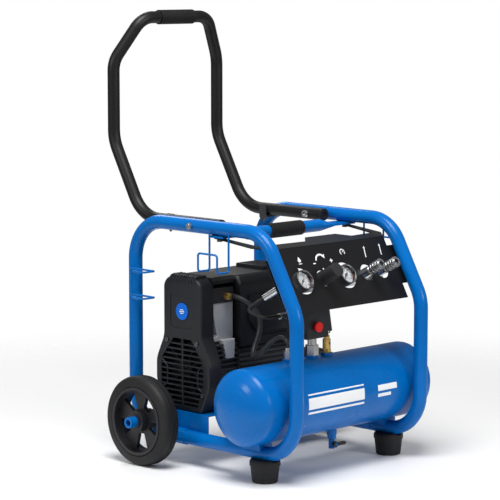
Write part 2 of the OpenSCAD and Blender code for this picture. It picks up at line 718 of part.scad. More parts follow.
module pivot_bolts() color("#c2c5c8") stand() both_sides() translate([0, pivot_y, frame_top]) {
  inner_x = leg_x - handle_r;
  outer_x = side_x + tube_r;
  translate([inner_x - 0.4, 0, 0]) rotate([0, 90, 0]) screw(pivot_d, outer_x - inner_x + 7);
  difference() {
    translate([leg_x + handle_r + 0.3, 0, 0]) rod_x(pivot_d, handle_gap - 0.6);
    translate([leg_x, 0, 0]) rod_x(pivot_d / 2, frame_w);
  }
  difference() {
    translate([outer_x + 0.2, 0, 0]) rotate([0, 90, 0]) cylinder(r = pivot_d * 0.85, h = 6, $fn = 6);
    translate([outer_x, 0, 0]) rod_x(pivot_d / 2, 8);
  }
}

// Open saddles that hold the handle's legs beside the top tubes
clip_y = 172;

module handle_clips() color("#3c3e41") stand() both_sides() {
  wall = 3.5;
  in_x = leg_x - handle_r - free - wall;
  seat = frame_top - handle_r - free;
  difference() {
    translate([0, clip_y - 9, 0]) {
      block([in_x, 0, seat - wall], [side_x, 18, seat]);
      block([in_x, 0, seat - wall], [in_x + wall, 18, frame_top + 11]);
      translate([in_x, 18, seat - wall]) rotate([90, 0, 90]) linear_extrude(wall)
        polygon([[-18, 0], [0, 0], [-9, -9]]);
    }
    loop_tube(tube_d + 2 * touch);
  }
}

// ---- cable hooks --------------------------------------------------------------------------------

// One hook of a single bent wire: two long wires, out, and back up to a cross piece
hook_w = 53;
hook_drop = 75;
hook_out = 31;
hook_back = 36;

module hook() {
  far = [-hook_out, 0, -hook_drop + hook_back];
  p = [
    [0, 0, 0], [0, 0, -hook_drop], [-hook_out, 0, -hook_drop], far,
    far + [0, hook_w, 0], [-hook_out, hook_w, -hook_drop], [0, hook_w, -hook_drop], [0, hook_w, 0]
  ];
  bent_bar(p, [for (q = p) 6], wire_d);
}

hook_x = side_x + tube_r + wire_d / 2 + touch;

module cable_hooks() color("#0b6fc4") stand() {
  translate([-hook_x, bar_y - 41, frame_top - 6]) hook();
  translate([-hook_x, rear_y, knee_z + 2]) rotate([-90, 0, 0]) mirror([0, 1, 0]) hook();
  mirror([1, 0, 0]) translate([-hook_x, bar_y - 92, frame_top - 6]) hook();
}

// ---- pump and motor -----------------------------------------------------------------------------

// Outline of the fan cover in Y and Z, inset by e: a narrow top on a wide octagonal base
function cover_outline(e) = let (t = cover_half - 22.5 - e, w = cover_half - e, b = plate_top + 1 + e) [
  [-t + 16, cover_top - e], [-t, cover_top - 14 - e * 0.4], [-t, shaft_z + 62], [-w, shaft_z + 14 - e * 0.4],
  [-w, shaft_z - 32 + e * 0.4], [-w + 24, b], [w - 24, b], [w, shaft_z - 32 + e * 0.4],
  [w, shaft_z + 14 - e * 0.4], [t, shaft_z + 62], [t, cover_top - 14 - e * 0.4], [t - 16, cover_top - e]
];

module cover_slab(e, x0, x1)
  translate([x0, pump_y, 0]) rotate([90, 0, 90]) linear_extrude(x1 - x0) polygon(cover_outline(e));

grille_rows = 8;
grille_pitch = 13;
grille_low = shaft_z - 66;
// Half width of the grille's opening at height z
function grille_half(z) = min(62, 62 - (shaft_z - 40 - z) * 0.8, 62 - (z - shaft_z - 10) * 0.7);

cover_screw_at = [[-43, 54], [43, 54], [-60, -48], [60, -48]];

module fan_cover() color("#232428") stand() difference() {
  cover_slab(0, cover_face_x, cover_back_x);
  cover_slab(cover_t, cover_face_x + cover_t, cover_back_x + 1);
  for (i = [0 : grille_rows - 1]) {
    z = grille_low + i * grille_pitch;
    for (m = [-1, 1]) translate([cover_face_x - 1, pump_y + m * (grille_half(z) / 2 + 1.5), z])
      translate([0, -grille_half(z) / 2 + 1.5, 0]) cube([cover_t + 2, grille_half(z) - 3, grille_pitch - 4.5]);
  }
  for (i = [-3 : 3]) block([cover_face_x + 8, pump_y + i * 10 - 3, cover_top - 4],
                           [cover_back_x - 6, pump_y + i * 10 + 3, cover_top + 1]);
  translate([cover_face_x - 1, pump_y, shaft_z + 115]) rotate([90, 0, 90]) linear_extrude(2)
    polygon([[-30, -34], [30, -34], [34, -26], [34, 32], [-34, 32], [-34, -26]]);
  for (q = cover_screw_at) translate([cover_face_x - 1, pump_y + q.x, shaft_z + q.y]) rod_x(2.5 + slip, 10);
}

module cover_badge() color("#1560d0") stand() translate([cover_face_x - 0.6, pump_y, shaft_z + 115]) rod_x(17, 1.6);

module cover_screws() color("#303236") stand() for (q = cover_screw_at)
  translate([cover_face_x, pump_y + q.x, shaft_z + q.y]) rotate([0, 90, 0]) screw(5, cover_back_x - cover_face_x);

module fan() color("#2e3034") stand() translate([cover_face_x + 9, pump_y, shaft_z]) difference() {
  union() {
    rod_x(18, 18);
    translate([14, 0, 0]) rod_x(62, 2.5);
    for (i = [0 : 8]) rotate([i * 40, 0, 0]) translate([0, 14, 0]) rotate([0, 0, 0]) block([0, 0, -1.2], [15, 46, 1.2]);
  }
  translate([-1, 0, 0]) rod_x(shaft_r, 30);
}

module crankshaft() color("#9a9da1") stand() translate([0, pump_y, shaft_z]) {
  x_pin = pump_x - 7;
  translate([cover_face_x + 7, 0, 0]) rod_x(shaft_r, x_pin - 5 - cover_face_x - 7);
  translate([x_pin - 5, 0, 0]) rod_x(24, 5);
  translate([x_pin, 0, crank_r]) rod_x(pin_r, 14);
  translate([x_pin + 14, 0, 0]) rod_x(24, 5);
  translate([x_pin + 19, 0, 0]) rod_x(shaft_r, motor_x1 + 6 - x_pin - 19);
}

rotor_r = motor_r - 30;
core_x = [motor_x0 + 34, motor_x1 - 40];

module rotor() color("#777a7e") stand() translate([core_x[0], pump_y, shaft_z]) difference() {
  rod_x(rotor_r, core_x[1] - core_x[0]);
  translate([-1, 0, 0]) rod_x(shaft_r, 200);
}

module stator() color("#b06a33") stand() translate([core_x[0], pump_y, shaft_z]) difference() {
  union() {
    rod_x(motor_r - 3 - touch, core_x[1] - core_x[0]);
    translate([-16, 0, 0]) rod_x(motor_r - 9, core_x[1] - core_x[0] + 32);
  }
  translate([-20, 0, 0]) rod_x(rotor_r + 0.7, 200);
}

// Cup-shaped motor housing with its feet and far bearing seat
module motor_housing() color("#2c2d30") stand() translate([0, pump_y, 0]) difference() {
  union() {
    translate([motor_x0, 0, shaft_z]) rod_x(motor_r, motor_x1 - motor_x0);
    for (x = [motor_x0 + 12, motor_x1 - 36]) block([x, -52, case_low], [x + 24, 52, shaft_z - 30]);
    for (i = [0 : 8]) translate([motor_x0 + 12 + i * 16, 0, shaft_z]) rod_x(motor_r + 2, 4);
  }
  translate([motor_x0 - 1, 0, shaft_z]) rod_x(motor_r - 3, motor_x1 - motor_x0 - 9);
  translate([motor_x0, 0, shaft_z]) rod_x(bearing_r + slip, 300);
}

module bearings() color("#c0c3c6") stand() translate([0, pump_y, shaft_z])
  for (x = [pump_x - case_half_x + 1, pump_x + case_half_x - 10, motor_x1 - 9.8]) difference() {
    translate([x, 0, 0]) rod_x(bearing_r, 9);
    translate([x - 1, 0, 0]) rod_x(shaft_r + slip, 11);
  }

// Cast crankcase with the plate that the fan cover closes on
module crankcase() color("#8d9094") stand() difference() {
  union() {
    block([pump_x - case_half_x, pump_y - case_half_y, case_low],
      [pump_x + case_half_x, pump_y + case_half_y, case_top]);
    translate([pump_x - case_half_x, pump_y, shaft_z]) rod_x(sump_r + 8, 2 * case_half_x);
    cover_slab(cover_t + free, cover_back_x - 2, pump_x - case_half_x);
  }
  translate([pump_x - 16, pump_y, shaft_z]) rod_x(sump_r, 32);
  block([pump_x - 16, pump_y - 25, shaft_z], [pump_x + 16, pump_y + 25, case_top + 1]);
  translate([cover_back_x - 10, pump_y, shaft_z]) rod_x(bearing_r + slip, 200);
  for (q = cover_screw_at) translate([cover_back_x - 4, pump_y + q.x, shaft_z + q.y]) rod_x(2.5 + slip, 12);
}

// Cylinder with a smooth cooling duct in front and fins around its barrel
module cylinder_block() {
  w = case_half_x;
  translate([pump_x, pump_y, case_top]) cylinder(r = bore_r + 2.8, h = head_low - case_top);
  block([pump_x - w + 2, pump_y - 52, case_top], [pump_x + w - 2, pump_y - bore_r - 2, head_low]);
  for (i = [0 : 5])
    block([pump_x - w, pump_y - 48, case_top + 6 + i * 12], [pump_x + w, pump_y + 46, case_top + 9 + i * 12]);
  block([pump_x - w, pump_y - 50, case_top], [pump_x + w, pump_y + 50, case_top + 5]);
}

module cylinder_bore() translate([pump_x, pump_y, case_top - 1]) cylinder(r = bore_r, h = head_low - case_top + 2);
module cylinder_node() color("#9b9ea3") stand() difference() {
  cylinder_block();
  cylinder_bore();
}

module cylinder_head() color("#1e1f22") stand() difference() {
  union() {
    w = case_half_x;
    block([pump_x - w, pump_y - 52, head_low], [pump_x + w, pump_y + 52, head_low + head_h - 6]);
    for (i = [0 : 6])
      block([pump_x - w, pump_y - 50 + i * 16, head_low + head_h - 6], [pump_x + w, pump_y - 46 + i * 16, head_low + head_h]);
  }
  translate([pump_x, pump_y, head_low + 6]) cylinder(r = 22, h = 14);
  translate([plug_x, pump_y - 53, plug_z]) rod_y(5 + slip, 20);
  translate([outlet_x, pump_y - 53, plug_z]) rod_y(5 + slip, 20);
  translate([pump_x, pump_y + 30, plug_z]) rod_y(8 + slip, 30);
}

plug_x = pump_x + 7;
outlet_x = pump_x + 22;
plug_z = head_low + 12;

module head_plug() color("#c79a3c") stand() translate([plug_x, pump_y - 52, plug_z]) {
  rod_y(5, 14);
  translate([0, -5, 0]) rotate([-90, 0, 0]) cylinder(r = 8, h = 5, $fn = 6);
  translate([0, -10, 0]) rod_y(7, 5);
}

// Piston and rod in one piece. The big end is a slot that clears the crank pin through its whole turn.
module piston() color("#b7babd") stand() translate([pump_x, pump_y, shaft_z]) {
  crown_top = head_low - shaft_z - 1;
  eye_top = eye_half + stroke;
  translate([0, 0, crown_top - 14]) cylinder(r = bore_r - 0.08, h = 14);
  difference() {
    block([-5, -eye_half - eye_wall, -eye_half - eye_wall], [5, eye_half + eye_wall, eye_top + eye_wall]);
    block([-6, -eye_half, -eye_half], [6, eye_half, eye_top]);
  }
  block([-5, -8, eye_top + eye_wall - 1], [5, 8, crown_top - 13]);
}

module air_filter() color("#17181a") stand() translate([pump_x, pump_y + 52, plug_z]) {
  translate([0, -14, 0]) rod_y(8, 14);
  rod_y(22, 26);
  translate([0, 26, 0]) rod_y(18, 6);
}

// Plastic hood over the motor with a roof that reaches over the cylinder head
hood_x = [pump_x + case_half_x + 5, pump_x + case_half_x + 185];
hood_half = 66;
roof_x = pump_x - case_half_x + touch;
hood_low = shaft_z + 40;

module motor_cover() color("#191a1d") stand() difference() {
  union() {
    block([hood_x[0], pump_y - hood_half, hood_low], [hood_x[1], pump_y + hood_half, cover_top]);
    block([roof_x, pump_y - 52, cover_top - 14], [hood_x[0] + 1, pump_y + 52, cover_top]);
    block([hood_x[0] + 96, pump_y - 34, cover_top], [hood_x[0] + 156, pump_y + 40, cover_top + 8]);
  }
  block([hood_x[0] + cover_t, pump_y - hood_half + cover_t, hood_low - 1],
        [hood_x[1] - cover_t, pump_y + hood_half - cover_t, cover_top - cover_t]);
  block([cover_back_x - 1, pump_y - 52 + cover_t, cover_top - 15], [hood_x[0] + cover_t + 1, pump_y + 52 - cover_t, cover_top - cover_t]);
  translate([hood_x[0] - 1, pump_y, shaft_z]) rod_x(motor_r + 3, 20);
  for (i = [0 : 6]) block([hood_x[0] + 100 + i * 8, pump_y - 30, cover_top - 5], [hood_x[0] + 104 + i * 8, pump_y + 36, cover_top + 9]);
}

// Delivery pipe from the head to the receiver's check valve
pipe_points = [
  [outlet_x, pump_y - 40, plug_z], [outlet_x, pump_y - 78, plug_z], [outlet_x + 28, 0, plug_z - 30],
  [outlet_x + 30, -6, shaft_z + 76], [outlet_x + 4, -6, shaft_z + 34], [outlet_x - 12, -30, shaft_z + 24],
  [check_x + 4, tank_y + 40, tank_top + 44], [check_x, tank_y, tank_top + 44], [check_x, tank_y, tank_top + boss_h + 22]
];

module delivery_pipe() color("#2a2b2e") stand() soft_line(pipe_points, 10);

// Hose from the pressure switch to the manifold, looped to the left of the switch
hose_top = [gauge_x[0] - 2, -112, 366];
hose_low = [switch_mid_x - switch_w / 2, tank_y + 20, switch_low + 46];
hose_points = [hose_top, [-152.6, -62, 322], hose_low - [68, 0, 0], hose_low - [30, 0, 0]];

module supply_hose() color("#232427") stand() {
  start = hose_top + 34 * unit(hose_points[1] - hose_top);
  bent_bar([start, hose_points[1], hose_points[2], hose_points[3]], [0, 10, 14, 0], 8);
}

module pump_mounts() color("#1a1b1d") stand()
  for (x = [pump_x - 18, pump_x + 18, motor_x0 + 24, motor_x1 - 24], y = [pump_y - 40, pump_y + 40])
    translate([x, y, plate_top]) cylinder(r = 9, h = case_low - plate_top);

// ---- assembly -----------------------------------------------------------------------------------

left_frame();
right_frame();
crossbar();
crossbar_grip();
frame_bolts();
axle();
axle_rings();
left_rim();
left_tyre();
right_rim();
right_tyre();
front_feet();
pump_platform();
tank();
tank_saddles();
drain_valve();
drain_lever();
safety_valve();
safety_cap();
pipe_fittings();
pressure_switch();
switch_cover();
switch_knob();
control_panel();
manifold();
regulator_body();
regulator_knob();
gauge_cases();
gauge_dials();
gauge_lenses();
tank_needle();
line_needle();
coupler_bodies();
left_coupler_sleeve();
right_coupler_sleeve();
handle_tube();
handle_grip();
handle_caps();
pivot_bolts();
handle_clips();
cable_hooks();
fan_cover();
cover_badge();
cover_screws();
fan();
crankshaft();
rotor();
stator();
motor_housing();
bearings();
crankcase();
cylinder_node();  // cylinder
cylinder_head();
head_plug();
piston();
air_filter();
motor_cover();
delivery_pipe();
supply_hose();
pump_mounts();
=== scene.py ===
"""Wheeled air compressor with a bent tube cage: finishes, fine parts, light and camera. Metres, +Z up."""
import json
import math

import bmesh
import bpy
from mathutils import Matrix, Vector


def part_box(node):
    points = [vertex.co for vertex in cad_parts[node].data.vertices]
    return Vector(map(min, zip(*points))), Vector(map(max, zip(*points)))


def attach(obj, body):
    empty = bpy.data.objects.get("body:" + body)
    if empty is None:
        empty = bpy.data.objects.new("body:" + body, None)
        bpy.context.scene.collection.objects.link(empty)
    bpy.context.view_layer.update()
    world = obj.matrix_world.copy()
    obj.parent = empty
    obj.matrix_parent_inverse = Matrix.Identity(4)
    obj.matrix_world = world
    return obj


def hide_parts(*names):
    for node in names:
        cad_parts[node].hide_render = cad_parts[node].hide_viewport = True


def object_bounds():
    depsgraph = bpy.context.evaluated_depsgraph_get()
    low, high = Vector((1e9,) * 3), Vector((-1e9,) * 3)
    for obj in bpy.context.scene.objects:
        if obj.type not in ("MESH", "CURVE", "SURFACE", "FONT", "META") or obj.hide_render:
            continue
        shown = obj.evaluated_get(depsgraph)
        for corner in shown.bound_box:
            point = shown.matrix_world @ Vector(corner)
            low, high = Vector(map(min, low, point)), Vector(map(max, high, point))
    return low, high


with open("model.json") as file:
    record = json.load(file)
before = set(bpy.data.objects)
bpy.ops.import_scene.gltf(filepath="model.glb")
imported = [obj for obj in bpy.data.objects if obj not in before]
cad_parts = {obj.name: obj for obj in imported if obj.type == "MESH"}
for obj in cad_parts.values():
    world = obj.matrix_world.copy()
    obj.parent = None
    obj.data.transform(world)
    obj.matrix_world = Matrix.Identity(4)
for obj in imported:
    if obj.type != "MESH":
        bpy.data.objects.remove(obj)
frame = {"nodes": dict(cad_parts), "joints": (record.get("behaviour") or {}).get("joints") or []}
cad_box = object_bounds()
joints = {joint["name"]: joint for joint in frame["joints"]}
mm = 0.001


# ---- camera and light ------------------------------------------------------------------------

CAMERA_PLACE = (-3.1471, -3.11695, 0.9725)
CAMERA_TURN = -45.011   # degrees round the machine from its front
CAMERA_RISE = 7.135     # degrees above the level
CAMERA_LENS = 158.716

camera_data = bpy.data.cameras.new("camera")
camera_data.lens = CAMERA_LENS
camera_data.sensor_width = 36
camera_data.clip_end = 200
camera = bpy.data.objects.new("camera", camera_data)
camera.location = CAMERA_PLACE
camera.rotation_euler = (math.radians(90 - CAMERA_RISE), 0, math.radians(CAMERA_TURN))
bpy.context.collection.objects.link(camera)
bpy.context.scene.camera = camera


def lamp(name, place, target, size, power):
    """Square soft light at place, turned towards target."""
    data = bpy.data.lights.new(name, "AREA")
    data.size = size
    data.energy = power
    light = bpy.data.objects.new(name, data)
    light.location = place
    light.rotation_euler = (Vector(target) - Vector(place)).to_track_quat("-Z", "Y").to_euler()
    bpy.context.collection.objects.link(light)


MIDDLE = (0, 0, 0.35)
lamp("overhead_softbox", (-0.9, -0.7, 3.0), MIDDLE, 1.5, 110)
lamp("front_softbox", (0.6, -3.6, 1.7), MIDDLE, 1.1, 40)
lamp("left_softbox", (-3.4, 0.9, 1.9), MIDDLE, 0.9, 34)
lamp("rear_softbox", (1.6, 3.2, 2.4), MIDDLE, 1.4, 26)

ROOM_LIGHT = 0.24         # light that the white room throws on the machine; the camera sees it at full white

bpy.context.scene.view_settings.view_transform = "Standard"
world = bpy.data.worlds.new("studio")
bpy.context.scene.world = world
world.use_nodes = True
room = world.node_tree
room.nodes["Background"].inputs["Color"].default_value = (1, 1, 1, 1)
backdrop = room.nodes.new("ShaderNodeBackground")
backdrop.inputs["Color"].default_value = (1, 1, 1, 1)
room.nodes["Background"].inputs["Strength"].default_value = ROOM_LIGHT
seen = room.nodes.new("ShaderNodeLightPath").outputs["Is Camera Ray"]
blend = room.nodes.new("ShaderNodeMixShader")
room.links.new(seen, blend.inputs["Fac"])
room.links.new(room.nodes["Background"].outputs["Background"], blend.inputs[1])
room.links.new(backdrop.outputs["Background"], blend.inputs[2])
room.links.new(blend.outputs["Shader"], room.nodes["World Output"].inputs["Surface"])


# ---- finishes --------------------------------------------------------------------------------

def node(tree, kind, **values):
    """New shader node; values set its input sockets by name, with _ for a space."""
    made = tree.nodes.new(kind)
    for key, value in values.items():
        made.inputs[key.replace("_", " ")].default_value = value
    return made


def between(tree, source, low, high):
    """Number that goes from low to high as source goes from 0.3 to 0.7."""
    ramp = node(tree, "ShaderNodeMapRange", From_Min=0.3, From_Max=0.7, To_Min=low, To_Max=high)
    tree.links.new(source, ramp.inputs["Value"])
    return ramp.outputs["Result"]


def finish(name, colour, shade, rough, grain, depth, metal=0.0, coat=0.0, soft=0.8, shine=0.5, mottle=9.0):
    """Surface with a two-tone mottle from colour to shade, roughness between two values and a fine grain.

    grain is the size of the grain in millimetres, depth its height in millimetres, soft the rounding of edges
    and shine how strongly a surface that isn't metal reflects.
    """
    material = bpy.data.materials.new(name)
    material.use_nodes = True
    tree = material.node_tree
    shader = tree.nodes["Principled BSDF"]
    shader.inputs["Metallic"].default_value = metal
    shader.inputs["Coat Weight"].default_value = coat
    shader.inputs["Coat Roughness"].default_value = 0.06
    shader.inputs["Specular IOR Level"].default_value = shine
    place = tree.nodes.new("ShaderNodeTexCoord").outputs["Object"]

    cloud = node(tree, "ShaderNodeTexNoise", Scale=mottle, Detail=3)
    tree.links.new(place, cloud.inputs["Vector"])
    tone = tree.nodes.new("ShaderNodeMix")
    tone.data_type = "RGBA"
    tone.inputs["A"].default_value = (*colour, 1)
    tone.inputs["B"].default_value = (*shade, 1)
    tree.links.new(between(tree, cloud.outputs["Fac"], 0, 1), tone.inputs["Factor"])
    tree.links.new(tone.outputs["Result"], shader.inputs["Base Color"])
    tree.links.new(between(tree, cloud.outputs["Fac"], *rough), shader.inputs["Roughness"])

    fine = node(tree, "ShaderNodeTexNoise", Scale=1 / (grain * mm), Detail=2)
    tree.links.new(place, fine.inputs["Vector"])
    bump = node(tree, "ShaderNodeBump", Strength=1, Distance=depth * mm)
    tree.links.new(fine.outputs["Fac"], bump.inputs["Height"])
    if soft:
        edge = node(tree, "ShaderNodeBevel", Radius=soft * mm)
        edge.samples = 4
        tree.links.new(edge.outputs["Normal"], bump.inputs["Normal"])
    tree.links.new(bump.outputs["Normal"], shader.inputs["Normal"])
    return material


blue_paint = finish("blue_paint", (0.0, 0.128, 0.44), (0.0, 0.112, 0.39), (0.22, 0.30), 1.6, 0.012,
                    coat=0.08, shine=0.14)
black_paint = finish("black_paint", (0.007, 0.007, 0.008), (0.005, 0.005, 0.006), (0.38, 0.48), 0.6, 0.02,
                     shine=0.28)
black_plastic = finish("black_plastic", (0.011, 0.012, 0.015), (0.007, 0.008, 0.010), (0.40, 0.52), 0.5,
                       0.05, shine=0.4)
hood_plastic = finish("hood_plastic", (0.007, 0.0075, 0.009), (0.004, 0.0045, 0.0055), (0.38, 0.50), 0.5,
                      0.05, shine=0.35)
ribbed_rubber = finish("ribbed_rubber", (0.009, 0.009, 0.010), (0.005, 0.005, 0.006), (0.55, 0.70), 0.4,
                       0.05, shine=0.3)
tyre_rubber = finish("tyre_rubber", (0.012, 0.012, 0.013), (0.007, 0.007, 0.008), (0.52, 0.66), 0.5, 0.06,
                     soft=0, shine=0.3)
rim_plastic = finish("rim_plastic", (0.016, 0.016, 0.018), (0.010, 0.010, 0.012), (0.38, 0.48), 0.5, 0.04,
                     shine=0.35)
hose_rubber = finish("hose_rubber", (0.010, 0.010, 0.011), (0.006, 0.006, 0.007), (0.42, 0.55), 0.4, 0.05,
                     soft=0, shine=0.35)
pipe_paint = finish("pipe_paint", (0.030, 0.031, 0.035), (0.018, 0.019, 0.021), (0.34, 0.45), 0.8, 0.02,
                    soft=0, shine=0.4)
grey_plastic = finish("grey_plastic", (0.036, 0.037, 0.04), (0.026, 0.027, 0.029), (0.42, 0.5), 0.5, 0.04,
                      shine=0.35)
knob_plastic = finish("knob_plastic", (0.026, 0.026, 0.027), (0.018, 0.018, 0.019), (0.45, 0.55), 0.5, 0.04,
                      shine=0.35)
nickel = finish("nickel", (0.70, 0.70, 0.70), (0.60, 0.60, 0.61), (0.20, 0.30), 0.5, 0.006, metal=1)
bezel_steel = finish("bezel_steel", (0.42, 0.42, 0.42), (0.34, 0.34, 0.34), (0.34, 0.44), 0.5, 0.006, metal=1)
knurled_steel = finish("knurled_steel", (0.56, 0.56, 0.57), (0.42, 0.42, 0.43), (0.30, 0.42), 0.9, 0.12,
                       metal=1)
dark_steel = finish("dark_steel", (0.20, 0.20, 0.21), (0.13, 0.13, 0.14), (0.3, 0.42), 0.6, 0.02, metal=1)
zinc = finish("zinc", (0.55, 0.56, 0.58), (0.45, 0.46, 0.48), (0.30, 0.42), 0.7, 0.02, metal=1)
brass = finish("brass", (0.88, 0.60, 0.20), (0.74, 0.48, 0.14), (0.22, 0.34), 0.6, 0.01, metal=1)
copper = finish("copper", (0.70, 0.33, 0.16), (0.52, 0.22, 0.10), (0.3, 0.45), 0.8, 0.05, metal=1)
cast_metal = finish("cast_metal", (0.60, 0.605, 0.61), (0.50, 0.505, 0.51), (0.45, 0.6), 1.1, 0.12, metal=0.2)
dark_cast = finish("dark_cast", (0.022, 0.023, 0.025), (0.014, 0.015, 0.016), (0.40, 0.55), 1.1, 0.12)
red_plastic = finish("red_plastic", (0.66, 0.004, 0.004), (0.55, 0.003, 0.003), (0.24, 0.32), 0.7, 0.01,
                     coat=0.3)
dial_card = finish("dial_card", (0.86, 0.86, 0.84), (0.82, 0.82, 0.80), (0.5, 0.6), 0.4, 0.004, soft=0)
white_print = finish("white_print", (0.84, 0.85, 0.86), (0.78, 0.79, 0.80), (0.35, 0.45), 0.5, 0.004, soft=0)
red_print = finish("red_print", (0.55, 0.02, 0.015), (0.48, 0.015, 0.01), (0.4, 0.5), 0.5, 0.004, soft=0)
black_print = finish("black_print", (0.006, 0.006, 0.006), (0.01, 0.01, 0.01), (0.4, 0.5), 0.5, 0.004,
                     soft=0, shine=0.2)
badge_blue = finish("badge_blue", (0.0, 0.13, 0.62), (0.0, 0.11, 0.54), (0.2, 0.28), 0.8, 0.01, coat=0.3,
                    shine=0.3)


def clear_lens():
    """Moulded clear window with a faint ripple in its polish."""
    material = bpy.data.materials.new("clear_lens")
    material.use_nodes = True
    tree = material.node_tree
    shader = tree.nodes["Principled BSDF"]
    shader.inputs["Base Color"].default_value = (0.95, 0.97, 1, 1)
    shader.inputs["Transmission Weight"].default_value = 1
    shader.inputs["IOR"].default_value = 1.2
    place = tree.nodes.new("ShaderNodeTexCoord").outputs["Object"]
    ripple = node(tree, "ShaderNodeTexNoise", Scale=120, Detail=1)
    tree.links.new(place, ripple.inputs["Vector"])
    tree.links.new(between(tree, ripple.outputs["Fac"], 0.01, 0.05), shader.inputs["Roughness"])
    return material


lens_plastic = clear_lens()

FINISH_OF = {
    blue_paint: ["left_frame", "right_frame", "crossbar", "axle", "tank", "tank_saddles", "cable_hooks",
                 "pump_platform", "drain_valve"],
    ribbed_rubber: ["crossbar_grip", "handle_grip", "front_feet", "pump_mounts", "handle_caps"],
    dark_steel: ["frame_bolts", "cover_screws", "crankshaft", "bearings"],
    black_plastic: ["axle_rings", "pressure_switch", "switch_cover", "fan_cover", "fan", "air_filter",
                    "drain_lever"],
    hood_plastic: ["motor_cover"],
    rim_plastic: ["left_rim", "right_rim"],
    black_paint: ["control_panel", "handle_tube", "motor_housing"],
    nickel: ["pipe_fittings", "pivot_bolts"],
    zinc: ["coupler_bodies", "manifold", "rotor"],
    knurled_steel: ["left_coupler_sleeve", "right_coupler_sleeve"],
    brass: ["safety_valve", "safety_cap", "head_plug"],
    red_plastic: ["switch_knob"],
    grey_plastic: ["handle_clips"],
    knob_plastic: ["regulator_knob", "regulator_body", "gauge_cases"],
    cast_metal: ["cylinder", "piston"],
    dark_cast: ["cylinder_head", "crankcase"],
    copper: ["stator"],
    dial_card: ["gauge_dials"],
    lens_plastic: ["gauge_lenses"],
    black_print: ["tank_needle", "line_needle"],
    badge_blue: ["cover_badge"],
}
for material, names in FINISH_OF.items():
    for name in names:
        for slot in frame["nodes"][name].material_slots:
            slot.material = material


# ---- making pieces ---------------------------------------------------------------------------

def settle(name, shape, body, material, sharp=35):
    """Turn a bmesh into a piece that rides on body; edges over sharp degrees stay crisp."""
    bmesh.ops.remove_doubles(shape, verts=shape.verts, dist=1e-6)
    bmesh.ops.recalc_face_normals(shape, faces=shape.faces)
    mesh = bpy.data.meshes.new(name)
    shape.to_mesh(mesh)
    shape.free()
    mesh.shade_smooth()
    mesh.set_sharp_from_angle(angle=math.radians(sharp))
    mesh.materials.append(material)
    piece = bpy.data.objects.new(name, mesh)
    bpy.context.collection.objects.link(piece)
    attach(piece, body)
    return piece


def slab(shape, place, size, turn=0.0):
    """Add a block of the given size centred on place and turned about Z."""
    bmesh.ops.create_cube(shape, size=1, matrix=Matrix.Translation(place) @ Matrix.Rotation(turn, 4, "Z")
                          @ Matrix.Diagonal((*size, 1)))


def disc(shape, place, radius, thick, sides=32, turn=0.0):
    """Add a flat disc, or a flat polygon with few sides, centred on place."""
    bmesh.ops.create_cone(shape, cap_ends=True, segments=sides, radius1=radius, radius2=radius, depth=thick,
                          matrix=Matrix.Translation(place) @ Matrix.Rotation(turn, 4, "Z"))


def arc(shape, place, radius, width, thick, start, sweep, steps=24):
    """Add part of a flat ring about place, from the angle start through sweep, both in degrees."""
    made = bmesh.ops.create_cube(shape, size=1, matrix=Matrix.Translation(Vector(place))
                                 @ Matrix.Rotation(math.radians(start), 4, "Z")
                                 @ Matrix.Translation((radius, 0, 0)) @ Matrix.Diagonal((width, 1e-5, thick,
                                                                                         1)))
    end = [f for f in {f for v in made["verts"] for f in v.link_faces}]
    direction = Vector((-math.sin(math.radians(start)), math.cos(math.radians(start)), 0))
    face = max(end, key=lambda f: f.calc_center_median().dot(direction))
    bmesh.ops.spin(shape, geom=[face], cent=place, axis=(0, 0, 1), angle=math.radians(sweep), steps=steps,
                   use_duplicate=False)


def prism(shape, outline, low, high, axis="x"):
    """Add a closed block whose outline lies across the axis, from low to high along it.

    The outline's points are (y, z) across x, (x, z) across y and (x, y) across z.
    """
    order = {"x": (2, 0, 1), "y": (0, 2, 1), "z": (0, 1, 2)}[axis]
    corners = [shape.verts.new([(a, b, low)[i] for i in order]) for a, b in outline]
    face = shape.faces.new(corners)
    grown = bmesh.ops.extrude_face_region(shape, geom=[face])["geom"]
    shift = Vector([(0, 0, high - low)[i] for i in order])
    moved = [v for v in grown if isinstance(v, bmesh.types.BMVert)]
    bmesh.ops.translate(shape, vec=shift, verts=moved)
    return corners + moved


def block(outline, low, high, axis="x"):
    """New bmesh that holds one prism with its faces outwards."""
    shape = bmesh.new()
    prism(shape, outline, low, high, axis)
    bmesh.ops.recalc_face_normals(shape, faces=shape.faces)
    return shape


def round_off(shape, chosen, radius, segments=3):
    """Round the edges that chosen picks from their two ends."""
    edges = [e for e in shape.edges if chosen(e.verts[0].co, e.verts[1].co) and e.calc_face_angle(0) > 0.2]
    bmesh.ops.bevel(shape, geom=edges, offset=radius, segments=segments, profile=0.5, affect="EDGES",
                    material=-1)


def carve(shape, *cutters, join=()):
    """Cut the closed shapes in cutters out of shape, and weld those in join to it."""
    def part(bm):
        mesh = bpy.data.meshes.new("carving")
        bmesh.ops.recalc_face_normals(bm, faces=bm.faces)
        bm.to_mesh(mesh)
        bm.free()
        item = bpy.data.objects.new("carving", mesh)
        bpy.context.collection.objects.link(item)
        return item

    base = part(shape)
    tools = []
    for group, action in ((cutters, "DIFFERENCE"), (join, "UNION")):
        for bm in group:
            tools.append(part(bm))
            step = base.modifiers.new("carve", "BOOLEAN")
            step.operation = action
            step.solver = "EXACT"
            step.object = tools[-1]
    bpy.context.view_layer.update()
    done = bmesh.new()
    done.from_object(base, bpy.context.evaluated_depsgraph_get())
    for item in [base, *tools]:
        bpy.data.objects.remove(item)
    return done


def mirrored(points, middle=0.0):
    """Outline points followed by their mirror images in reverse, about middle on the first axis."""
    return points + [(2 * middle - a, b) for a, b in reversed(points)]


# ---- wheels ----------------------------------------------------------------------------------

